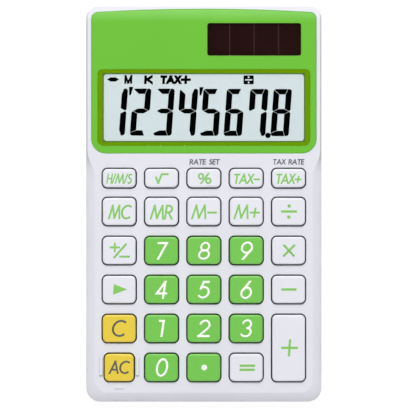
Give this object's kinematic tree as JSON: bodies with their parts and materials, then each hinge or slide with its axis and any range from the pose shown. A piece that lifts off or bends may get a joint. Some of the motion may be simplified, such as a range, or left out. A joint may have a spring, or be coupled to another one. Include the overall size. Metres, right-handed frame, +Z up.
{
  "type": "pocket calculator",
  "caption": "Slim solar pocket calculator with a white bevelled case, green display panel, large one-line display and spring-loaded keys that press down.",
  "frame": {"origin": "middle of the flat underside, on the desk", "axes": "+Z up out of the keys, +Y towards the display end, +X to the right for a reader"},
  "size_m": [0.0706, 0.1186, 0.008],
  "materials": {
    "white_shell": "fine matt moulded white",
    "green_panel": "glossy green",
    "clear_lens": "clear acrylic",
    "olive_border": "olive print",
    "solar_glass": "dark brown coated glass",
    "polariser": "grey film",
    "display_glass": "thin glass",
    "reflector": "silver grey film",
    "foam": "dark foam",
    "contact_rubber": "layered rubber",
    "board": "brown laminate",
    "black_resin": "black resin",
    "chip_ceramic": "fired ceramic",
    "mat_rubber": "grey silicone",
    "carbon": "carbon filled rubber",
    "cell_steel": "nickel plated",
    "clip_steel": "spring steel",
    "red_lead": "insulation",
    "black_lead": "insulation",
    "screw_steel": "zinc plated",
    "white_key": "satin white",
    "green_key": "satin green",
    "yellow_key": "satin yellow"
  },
  "bodies": {
    "case": {"battery_clip_negative": "clip_steel", "battery_clip_positive": "clip_steel", "board_screws": "screw_steel", "button_cell": "cell_steel", "case_screws": "screw_steel", "chip_blob": "black_resin", "chip_capacitors": "chip_ceramic", "chip_resistors": "black_resin", "circuit_board": "board", "contact_pills": "carbon", "display_panel": "green_panel", "front_case": "white_shell", "key_mat": "mat_rubber", "lcd_cushion": "foam", "lcd_front_glass": "display_glass", "lcd_front_polariser": "polariser", "lcd_rear_glass": "display_glass", "lcd_reflector": "reflector", "rear_case": "white_shell", "solar_cell": "solar_glass", "solar_lead_black": "black_lead", "solar_lead_red": "red_lead", "solar_window": "clear_lens", "window_border": "olive_border", "window_lens": "clear_lens", "zebra_connector": "contact_rubber"},
    "key_time": {"key_time": "white_key"},
    "key_root": {"key_root": "white_key"},
    "key_percent": {"key_percent": "white_key"},
    "key_tax_minus": {"key_tax_minus": "white_key"},
    "key_tax_plus": {"key_tax_plus": "white_key"},
    "key_memory_clear": {"key_memory_clear": "white_key"},
    "key_memory_recall": {"key_memory_recall": "white_key"},
    "key_memory_minus": {"key_memory_minus": "white_key"},
    "key_memory_plus": {"key_memory_plus": "white_key"},
    "key_divide": {"key_divide": "white_key"},
    "key_sign": {"key_sign": "white_key"},
    "key_seven": {"key_seven": "green_key"},
    "key_eight": {"key_eight": "green_key"},
    "key_nine": {"key_nine": "green_key"},
    "key_multiply": {"key_multiply": "white_key"},
    "key_backspace": {"key_backspace": "white_key"},
    "key_four": {"key_four": "green_key"},
    "key_five": {"key_five": "green_key"},
    "key_six": {"key_six": "green_key"},
    "key_minus": {"key_minus": "white_key"},
    "key_clear": {"key_clear": "yellow_key"},
    "key_one": {"key_one": "green_key"},
    "key_two": {"key_two": "green_key"},
    "key_three": {"key_three": "green_key"},
    "key_plus": {"key_plus": "white_key"},
    "key_all_clear": {"key_all_clear": "yellow_key"},
    "key_zero": {"key_zero": "green_key"},
    "key_point": {"key_point": "green_key"},
    "key_equals": {"key_equals": "white_key"}
  },
  "joints": [
    {"name": "key_time_press", "type": "slide", "parent": "case", "child": "key_time", "axis": [0, 0, -1], "range_m": [0, 0.0007], "stiffness_N_per_m": 350, "deforming": ["key_mat"]},
    {"name": "key_root_press", "type": "slide", "parent": "case", "child": "key_root", "axis": [0, 0, -1], "range_m": [0, 0.0007], "stiffness_N_per_m": 350, "deforming": ["key_mat"]},
    {"name": "key_percent_press", "type": "slide", "parent": "case", "child": "key_percent", "axis": [0, 0, -1], "range_m": [0, 0.0007], "stiffness_N_per_m": 350, "deforming": ["key_mat"]},
    {"name": "key_tax_minus_press", "type": "slide", "parent": "case", "child": "key_tax_minus", "axis": [0, 0, -1], "range_m": [0, 0.0007], "stiffness_N_per_m": 350, "deforming": ["key_mat"]},
    {"name": "key_tax_plus_press", "type": "slide", "parent": "case", "child": "key_tax_plus", "axis": [0, 0, -1], "range_m": [0, 0.0007], "stiffness_N_per_m": 350, "deforming": ["key_mat"]},
    {"name": "key_memory_clear_press", "type": "slide", "parent": "case", "child": "key_memory_clear", "axis": [0, 0, -1], "range_m": [0, 0.0007], "stiffness_N_per_m": 350, "deforming": ["key_mat"]},
    {"name": "key_memory_recall_press", "type": "slide", "parent": "case", "child": "key_memory_recall", "axis": [0, 0, -1], "range_m": [0, 0.0007], "stiffness_N_per_m": 350, "deforming": ["key_mat"]},
    {"name": "key_memory_minus_press", "type": "slide", "parent": "case", "child": "key_memory_minus", "axis": [0, 0, -1], "range_m": [0, 0.0007], "stiffness_N_per_m": 350, "deforming": ["key_mat"]},
    {"name": "key_memory_plus_press", "type": "slide", "parent": "case", "child": "key_memory_plus", "axis": [0, 0, -1], "range_m": [0, 0.0007], "stiffness_N_per_m": 350, "deforming": ["key_mat"]},
    {"name": "key_divide_press", "type": "slide", "parent": "case", "child": "key_divide", "axis": [0, 0, -1], "range_m": [0, 0.0007], "stiffness_N_per_m": 350, "deforming": ["key_mat"]},
    {"name": "key_sign_press", "type": "slide", "parent": "case", "child": "key_sign", "axis": [0, 0, -1], "range_m": [0, 0.0007], "stiffness_N_per_m": 350, "deforming": ["key_mat"]},
    {"name": "key_seven_press", "type": "slide", "parent": "case", "child": "key_seven", "axis": [0, 0, -1], "range_m": [0, 0.0007], "stiffness_N_per_m": 350, "deforming": ["key_mat"]},
    {"name": "key_eight_press", "type": "slide", "parent": "case", "child": "key_eight", "axis": [0, 0, -1], "range_m": [0, 0.0007], "stiffness_N_per_m": 350, "deforming": ["key_mat"]},
    {"name": "key_nine_press", "type": "slide", "parent": "case", "child": "key_nine", "axis": [0, 0, -1], "range_m": [0, 0.0007], "stiffness_N_per_m": 350, "deforming": ["key_mat"]},
    {"name": "key_multiply_press", "type": "slide", "parent": "case", "child": "key_multiply", "axis": [0, 0, -1], "range_m": [0, 0.0007], "stiffness_N_per_m": 350, "deforming": ["key_mat"]},
    {"name": "key_backspace_press", "type": "slide", "parent": "case", "child": "key_backspace", "axis": [0, 0, -1], "range_m": [0, 0.0007], "stiffness_N_per_m": 350, "deforming": ["key_mat"]},
    {"name": "key_four_press", "type": "slide", "parent": "case", "child": "key_four", "axis": [0, 0, -1], "range_m": [0, 0.0007], "stiffness_N_per_m": 350, "deforming": ["key_mat"]},
    {"name": "key_five_press", "type": "slide", "parent": "case", "child": "key_five", "axis": [0, 0, -1], "range_m": [0, 0.0007], "stiffness_N_per_m": 350, "deforming": ["key_mat"]},
    {"name": "key_six_press", "type": "slide", "parent": "case", "child": "key_six", "axis": [0, 0, -1], "range_m": [0, 0.0007], "stiffness_N_per_m": 350, "deforming": ["key_mat"]},
    {"name": "key_minus_press", "type": "slide", "parent": "case", "child": "key_minus", "axis": [0, 0, -1], "range_m": [0, 0.0007], "stiffness_N_per_m": 350, "deforming": ["key_mat"]},
    {"name": "key_clear_press", "type": "slide", "parent": "case", "child": "key_clear", "axis": [0, 0, -1], "range_m": [0, 0.0007], "stiffness_N_per_m": 350, "deforming": ["key_mat"]},
    {"name": "key_one_press", "type": "slide", "parent": "case", "child": "key_one", "axis": [0, 0, -1], "range_m": [0, 0.0007], "stiffness_N_per_m": 350, "deforming": ["key_mat"]},
    {"name": "key_two_press", "type": "slide", "parent": "case", "child": "key_two", "axis": [0, 0, -1], "range_m": [0, 0.0007], "stiffness_N_per_m": 350, "deforming": ["key_mat"]},
    {"name": "key_three_press", "type": "slide", "parent": "case", "child": "key_three", "axis": [0, 0, -1], "range_m": [0, 0.0007], "stiffness_N_per_m": 350, "deforming": ["key_mat"]},
    {"name": "key_plus_press", "type": "slide", "parent": "case", "child": "key_plus", "axis": [0, 0, -1], "range_m": [0, 0.0007], "stiffness_N_per_m": 350, "deforming": ["key_mat"]},
    {"name": "key_all_clear_press", "type": "slide", "parent": "case", "child": "key_all_clear", "axis": [0, 0, -1], "range_m": [0, 0.0007], "stiffness_N_per_m": 350, "deforming": ["key_mat"]},
    {"name": "key_zero_press", "type": "slide", "parent": "case", "child": "key_zero", "axis": [0, 0, -1], "range_m": [0, 0.0007], "stiffness_N_per_m": 350, "deforming": ["key_mat"]},
    {"name": "key_point_press", "type": "slide", "parent": "case", "child": "key_point", "axis": [0, 0, -1], "range_m": [0, 0.0007], "stiffness_N_per_m": 350, "deforming": ["key_mat"]},
    {"name": "key_equals_press", "type": "slide", "parent": "case", "child": "key_equals", "axis": [0, 0, -1], "range_m": [0, 0.0007], "stiffness_N_per_m": 350, "deforming": ["key_mat"]}
  ]
}
